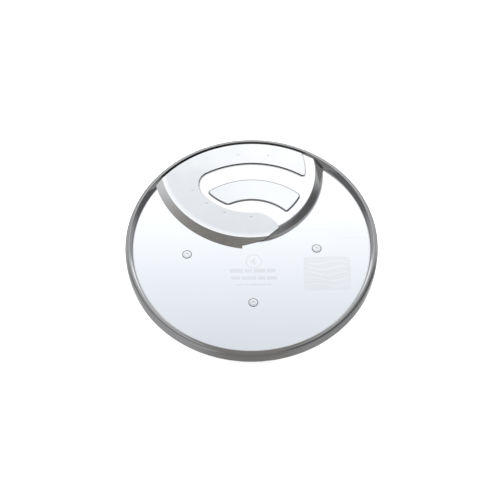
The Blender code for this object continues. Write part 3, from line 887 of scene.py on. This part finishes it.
def on_pad(x, y):
    return pad_depth(x, y) > 0.8 * PAD_SLOPE


def pad_side(x, y):
    """True on the pad's sloping side and just beside it."""
    depth = pad_depth(x, y)
    return (depth > -PAD_MARGIN) & (depth < PAD_SLOPE + PAD_MARGIN)


def rivet_centres():
    return {side: ((lo + hi) / 2).to_2d() for side, (lo, hi) in RIVET_BOXES.items()}


def plan_outlines():
    """The flat face's boundary, its openings, and the outlines of the etched marks."""
    boundary = circle((0, 0), FLAT_RADIUS, RIM_SECTORS)
    openings = [slot_outline()]
    openings += [circle(tuple(c), RIVET_HOLE_RADIUS, 64) for c in rivet_centres().values()]
    ring = [circle(RING_CENTRE, radius, 64) for radius in RING_RADII]
    return boundary, openings, ring + mark_outlines()


def flat_faces():
    """The flat face's points, its triangles outside the openings, and their material slots."""
    boundary, openings, marks = plan_outlines()
    outlines = [boundary] + openings + marks
    plan, triangles, held = triangulate(outlines, plate_points(outlines))
    first_mark = 1 + len(openings)
    faces = []
    marked = []
    for triangle, holders in zip(triangles, held):
        if any(1 <= h < first_mark for h in holders):
            continue
        faces.append(list(triangle))
        marked.append(sum(h >= first_mark for h in holders) % 2)
    x, y = np.array([plan[face].mean(axis=0) for face in faces]).T
    slots = np.where(x > PANEL_LEFT, PANEL_SLOT, MARK_SLOT) * np.array(marked)
    return plan, faces, list(np.where(on_pad(x, y), PAD_SLOT, slots))


def rim_faces(inner_ring, count, rings):
    """Quads of the rim, whose first row starts from the flat face's outermost points."""
    faces = []
    for i in range(rings):
        start = count + i * RIM_SECTORS
        here = inner_ring if i == 0 else np.arange(start - RIM_SECTORS, start)
        there = np.arange(start, start + RIM_SECTORS)
        for j in range(RIM_SECTORS):
            k = (j + 1) % RIM_SECTORS
            faces.append([int(here[j]), int(there[j]), int(there[k]), int(here[k])])
    return faces


def make_plate(materials):
    """The pressed plate: one sheet of even thickness with its slot and rivet holes."""
    plan, faces, slots = flat_faces()
    rim, rim_normals = rim_mesh()
    quads = rim_faces(boundary_indices(plan), len(plan), len(rim) // RIM_SECTORS)
    faces += quads
    slots += [SHEET_SLOT] * len(quads)
    x, y = plan[:, 0], plan[:, 1]
    sheet = np.concatenate([np.stack([x, y, sheet_height(x, y)], axis=-1), rim])
    sheet_normals = np.concatenate([normals_of(sheet_height, x, y), rim_normals])
    face_normals = normals_of(face_height, x, y)
    shown_normals = np.concatenate([face_normals, rim_normals])
    lift = np.zeros((len(sheet), 3))
    lift[:, 2] = PLATE_TOP
    lift[: len(plan), 2] += pad_height(x, y)
    top = sheet + lift
    bottom = sheet - SHEET * sheet_normals + lift
    lower_rim = bottom[len(plan):].reshape(-1, RIM_SECTORS, 3)
    fill_under_crest(lower_rim)
    under_normals = np.concatenate([-face_normals, normals_under_rim(lower_rim)])
    corners = np.concatenate([np.array(f) for f in faces])
    used = (shown_normals[corners], under_normals[corners])
    plate = solid_from_sheet("pressed_plate", top, bottom, faces, *used, slots, SHEET_SLOT)
    drop_loose(plate)
    for material in materials:
        plate.data.materials.append(material)
    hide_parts("disc_plate")
    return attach(plate, "root")


def fill_under_crest(lower):
    """Runs the underside straight below the crest, whose bend is tighter than the sheet."""
    first, last = TIGHT_RINGS
    for i in range(first + 1, last):
        share = (i - first) / (last - first)
        lower[i] = (1 - share) * lower[first] + share * lower[last]


def normals_under_rim(lower):
    """Downward normals of the rim's underside, square to its run and to its circle."""
    run = np.gradient(lower, axis=0)
    flat = lower * np.array([1.0, 1.0, 0.0])
    around = np.cross(np.array([0.0, 0.0, 1.0]), flat)
    normals = np.cross(around, run).reshape(-1, 3)
    return normals / np.maximum(np.linalg.norm(normals, axis=1, keepdims=True), 1e-12)


def boundary_indices(plan):
    """Indices of the flat face's outermost points, in the order of the rim's sectors."""
    radius = np.hypot(plan[:, 0], plan[:, 1])
    outer = np.nonzero(radius > FLAT_RADIUS - 1e-7)[0]
    angle = np.arctan2(plan[outer, 1], plan[outer, 0]) % math.tau
    sector = np.round(angle / math.tau * RIM_SECTORS).astype(int) % RIM_SECTORS
    found = np.zeros(RIM_SECTORS, dtype=int)
    found[sector] = outer
    return found


def drop_loose(obj):
    """Removes vertices that no face uses, which the openings leave behind."""
    mesh = obj.data
    used = np.zeros(len(mesh.loops), dtype=np.int32)
    mesh.loops.foreach_get("vertex_index", used)
    loose = np.setdiff1d(np.arange(len(mesh.vertices)), used)
    if len(loose):
        data = bmesh.new()
        data.from_mesh(mesh)
        data.verts.ensure_lookup_table()
        bmesh.ops.delete(data, geom=[data.verts[i] for i in loose], context="VERTS")
        data.to_mesh(mesh)
        data.free()


def weld_centres():
    rows = ((BLADE_CENTRE, WELD_RADIUS, WELD_ANGLES), ((0, 0), ARM_WELD_RADIUS, ARM_WELD_ANGLES))
    places = []
    for (x, y), radius, angles in rows:
        for turn in np.radians(angles):
            places.append((x + radius * math.cos(turn), y + radius * math.sin(turn)))
    return places


def weld_dip(x, y):
    """Depth of the spot-weld dimples."""
    depth = np.zeros(np.shape(x))
    for centre in weld_centres():
        distance = np.hypot(x - centre[0], y - centre[1])
        depth += WELD_DEPTH * (1 - ease(distance / WELD_SIZE))
    return -depth


def near_weld(x, y):
    return weld_dip(x, y) < -0.002 * MM


def make_blade(materials):
    """The crescent blade and its arm: a flat body with weld dimples, and a ground bevel."""
    outline = blade_outline()
    bottom = BLADE_BOX[0].z
    top = BLADE_BOX[1].z
    line = bevel_line()
    points = [grid_points(0.3 * MM, near_weld)]
    points.append(grid_points(1.5 * MM, lambda x, y: in_blade(x, y) & ~near_weld(x, y)))
    region = [outline, line]
    points = away_from(region, np.concatenate(points), 0.3 * MM)
    points = points[in_blade(points[:, 0], points[:, 1])]
    plan, triangles, held = triangulate(region, points)
    faces = [list(t) for t, holders in zip(triangles, held) if 0 in holders]
    ground = [0 in h and 1 not in h for h in held if 0 in h]
    x, y = plan[:, 0], plan[:, 1]
    drop = top - bottom - EDGE_LAND
    upper = np.stack([x, y, top + drop * bevel_share(x, y) + weld_dip(x, y)], axis=-1)
    lower = np.stack([x, y, np.full_like(x, bottom)], axis=-1)
    flat = normals_of(weld_dip, x, y)
    sloped = normals_of(lambda px, py: drop * bevel_share(px, py, extend=True), x, y)
    corners = [(sloped if g else flat)[f] for f, g in zip(faces, ground)]
    under = np.tile([0.0, 0.0, -1.0], (sum(len(f) for f in faces), 1))
    slots = [BEVEL_SLOT if g else BODY_SLOT for g in ground]
    args = (upper, lower, faces, np.concatenate(corners), under, slots, SHADED_EDGE_SLOT)
    blade = solid_from_sheet("crescent_blade", *args)
    drop_loose(blade)
    for material in materials:
        blade.data.materials.append(material)
    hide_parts("slicing_blade")
    blade.visible_glossy = False
    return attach(blade, "root")


def bevel_share(x, y, extend=False):
    """0 on the blade's flat body, falling to -1 at the cutting edge."""
    dx, dy = x - BLADE_CENTRE[0], y - BLADE_CENTRE[1]
    radius = np.hypot(dx, dy)
    off_x, off_y = EDGE_CENTRE[0] - BLADE_CENTRE[0], EDGE_CENTRE[1] - BLADE_CENTRE[1]
    along = (off_x * dx + off_y * dy) / radius
    across = (off_y * dx - off_x * dy) / radius
    edge = along + np.sqrt(EDGE_RADIUS**2 - across**2)
    share = (BEVEL_RADIUS - radius) / (edge - BEVEL_RADIUS)
    return share if extend else np.minimum(share, 0.0)


def bevel_line():
    """An outline that holds the blade's flat body and not its bevel."""
    return circle(BLADE_CENTRE, BEVEL_RADIUS, 640)


def in_blade(x, y):
    """True safely inside the blade's plan, where its body is short of both its ends."""
    margin = 0.3 * MM
    end_x, root_y = 20 * MM, BLADE_CENTRE[1] + 6 * MM
    radius = np.hypot(x - BLADE_CENTRE[0], y - BLADE_CENTRE[1])
    edge = np.hypot(x - EDGE_CENTRE[0], y - EDGE_CENTRE[1])
    back = np.where(x < BLADE_BACK_X, 0.0, BLADE_BACK_RADIUS)
    inside = (edge < EDGE_RADIUS - margin) & (radius > back + margin)
    inside &= (y < root_y) & (x < end_x) & (np.abs(x - BLADE_BACK_X) > margin)
    across = np.hypot(x - HILL_CENTRE[0], y - HILL_CENTRE[1])
    arm = (np.hypot(x, y) > ARM_RADIUS + margin) & (across < ARM_END_RADIUS - margin)
    arm &= (x > BLADE_BACK_X) & (y > 0)
    return (inside | arm) & (np.hypot(x, y) < BLADE_REACH - margin)


def make_rivet(side, materials):
    """A flush rivet: a dressed head with a centre mark, a shank and a set tail."""
    lo, hi = RIVET_BOXES[side]
    head = RIVET_HEAD_RADIUS
    shank = RIVET_SHANK_RADIUS
    tail = (hi.x - lo.x) / 2
    top = hi.z
    tail_top = lo.z + 1.55 * MM
    profile = [(0.0, top - 0.06 * MM), (0.5 * MM, top - 0.05 * MM), (0.9 * MM, top)]
    profile += [(head - 0.25 * MM, top), (head, top - 0.2 * MM)]
    profile += [(head - 0.4 * MM, top - 0.5 * MM), (shank, top - 0.9 * MM), (shank, tail_top)]
    profile += [(tail, tail_top), (tail, tail_top - 0.5 * MM), (0.8 * tail, lo.z + 0.45 * MM)]
    profile += [(0.45 * tail, lo.z + 0.1 * MM), (0.0, lo.z)]
    profile = rounded(profile, 0.12 * MM)
    rivet = turned("rivet_piece_" + side, profile, 72, materials, rivet_centres()[side])
    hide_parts("rivet_" + side)
    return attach(rivet, "root")


# ---------------------------------------------------------------- floor, light and camera

def make_floor():
    """A plain pale floor, seen only from above, that stays out of the steel's reflections."""
    size = 6.0
    data = bmesh.new()
    signs = ((-1, -1), (1, -1), (1, 1), (-1, 1))
    corners = [data.verts.new((sx * size, sy * size, 0.0)) for sx, sy in signs]
    data.faces.new(corners)
    material = bpy.data.materials.new("pale_floor")
    material.use_nodes = True
    nodes = Nodes(material.node_tree)
    shader = material.node_tree.nodes["Principled BSDF"]
    shader.inputs["Base Color"].default_value = (0.9, 0.9, 0.9, 1.0)
    shader.inputs["Roughness"].default_value = 0.9
    shader.inputs["Specular IOR Level"].default_value = 0.0
    clear = nodes.add("ShaderNodeBsdfTransparent").outputs[0]
    behind = nodes.add("ShaderNodeNewGeometry").outputs["Backfacing"]
    seen = nodes.add("ShaderNodeMixShader", {0: behind, 1: shader.outputs[0], 2: clear})
    output = material.node_tree.nodes["Material Output"]
    nodes.set(output.inputs["Surface"], seen.outputs[0])
    floor = finish_mesh("floor", data, [material])
    floor.location.z = -0.2 * MM
    floor.visible_glossy = False


def grey(level, tint):
    """A tent colour whose light has that level."""
    return tuple(level * t / TENT_STRENGTH for t in tint)


def make_world():
    """A studio tent: white softbox behind the disc, warm grey overhead and on the near side."""
    world = bpy.data.worlds.new("studio")
    bpy.context.scene.world = world
    world.use_nodes = True
    nodes = Nodes(world.node_tree)
    direction = nodes.add("ShaderNodeTexCoord").outputs["Generated"]
    x, y, z = nodes.axes(direction)
    turn = nodes.math("ARCTAN2", z, y)
    share = nodes.math("DIVIDE", nodes.math("ADD", turn, math.pi), math.tau)
    stops = [((degrees + 180) / 360, grey(level, tint)) for degrees, level, tint in MIDDLE_BAND]
    middle = nodes.ramp(share, stops)
    height = nodes.math("MULTIPLY_ADD", z, 0.5, 0.5)
    far, right, left = (
        nodes.ramp(height, [(place, grey(level, PLAIN)) for place, level in side])
        for side in (FAR_SIDE, RIGHT_SIDE, LEFT_SIDE)
    )
    near = nodes.remap(y, FAR_END, NEAR_START, 0.0, 1.0, smooth=True)
    to_right = nodes.remap(x, SIDE_START, SIDE_FULL, 0.0, 1.0, smooth=True)
    to_left = nodes.remap(x, -SIDE_START, -SIDE_FULL, 0.0, 1.0, smooth=True)
    colour = nodes.mix(to_right, middle, nodes.mix(near, far, right))
    colour = nodes.mix(to_left, colour, nodes.mix(near, far, left))
    background = world.node_tree.nodes["Background"]
    nodes.set(background.inputs["Color"], colour)
    background.inputs["Strength"].default_value = TENT_STRENGTH


def make_lights():
    """Broad soft lights for the floor and the plastic. The steel takes its look from the tent."""
    for name, place, energy, size in (
        ("soft_top", (0.0, 0.5, 1.6), 60.0, 1.6),
        ("soft_near", (0.0, -1.6, 1.1), 45.0, 1.4),
        ("soft_left", (-1.6, 0.0, 1.0), 40.0, 1.4),
        ("soft_right", (1.6, 0.0, 1.0), 40.0, 1.4),
    ):
        light = bpy.data.lights.new(name, "AREA")
        light.energy = energy
        light.size = size
        obj = bpy.data.objects.new(name, light)
        obj.location = place
        obj.rotation_mode = "QUATERNION"
        obj.rotation_quaternion = (-Vector(place)).to_track_quat("-Z", "Y")
        obj.visible_glossy = False
        bpy.context.scene.collection.objects.link(obj)


def make_camera():
    """The camera, above and in front of the disc, with a very slight roll."""
    data = bpy.data.cameras.new("view")
    data.lens = CAMERA_LENS
    data.sensor_width = 36.0
    camera = bpy.data.objects.new("view", data)
    right = Vector((1.0, 0.0, 0.0))
    up = Vector((0.0, math.sin(CAMERA_ELEVATION), math.cos(CAMERA_ELEVATION)))
    back = Vector((0.0, -math.cos(CAMERA_ELEVATION), math.sin(CAMERA_ELEVATION)))
    across = right * math.cos(CAMERA_ROLL) + up * math.sin(CAMERA_ROLL)
    upward = up * math.cos(CAMERA_ROLL) - right * math.sin(CAMERA_ROLL)
    turn = Matrix((across, upward, back)).transposed().to_4x4()
    camera.matrix_world = Matrix.Translation(CAMERA_TARGET + back * CAMERA_DISTANCE) @ turn
    bpy.context.scene.collection.objects.link(camera)
    bpy.context.scene.camera = camera


def dress_node(name, material):
    """Gives a carried-over CAD node its material and softens its edges."""
    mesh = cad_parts[name].data
    mesh.materials.clear()
    mesh.materials.append(material)
    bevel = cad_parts[name].modifiers.new("soft_edges", "BEVEL")
    bevel.width = EDGE_ROUND
    bevel.segments = 3
    bevel.limit_method = "ANGLE"
    bevel.angle_limit = math.radians(40)
    bevel.harden_normals = True


def main():
    """Makes the materials, the pieces, the floor, the tent, the lights and the camera."""
    sheet_steel = polished_steel("pressed_steel", (0.90, 0.91, 0.925), 0.11)
    etched_steel = polished_steel("etched_steel", (0.885, 0.89, 0.905), 0.13, etched=True)
    pad_shaded_steel = embossed_painted_shade_steel("embossed_painted_shade_steel")
    marked_steel = polished_steel("marked_steel", (0.83, 0.835, 0.85), 0.13, etched=True)
    make_plate((sheet_steel, etched_steel, pad_shaded_steel, marked_steel))
    body_steel = blade_steel("ground_blade_steel")
    ground_steel = bevel_steel("ground_bevel_steel")
    # Near-black painted shade on the blade's cut edges, for the dark gap beside and under them.
    edge_shade_steel = polished_steel("sheared_edge_painted_shade", (0.16, 0.16, 0.16), 0.4)
    make_blade((body_steel, ground_steel, edge_shade_steel))
    rivet_steel = turned_metal("rivet_metal", (0.90, 0.905, 0.915), 0.08, 5000.0)
    socket_steel = turned_metal("socket_metal", (0.62, 0.62, 0.63), 0.25, 4000.0)
    plastic = moulded_plastic("carrier_plastic")
    for side in SIDES:
        make_rivet(side, [rivet_steel])
        dress_node("washer_" + side, rivet_steel)
    dress_node("hub_carrier", plastic)
    dress_node("drive_socket", socket_steel)
    make_floor()
    make_world()
    make_lights()
    make_camera()
    bpy.context.scene.view_settings.view_transform = "Standard"


main()
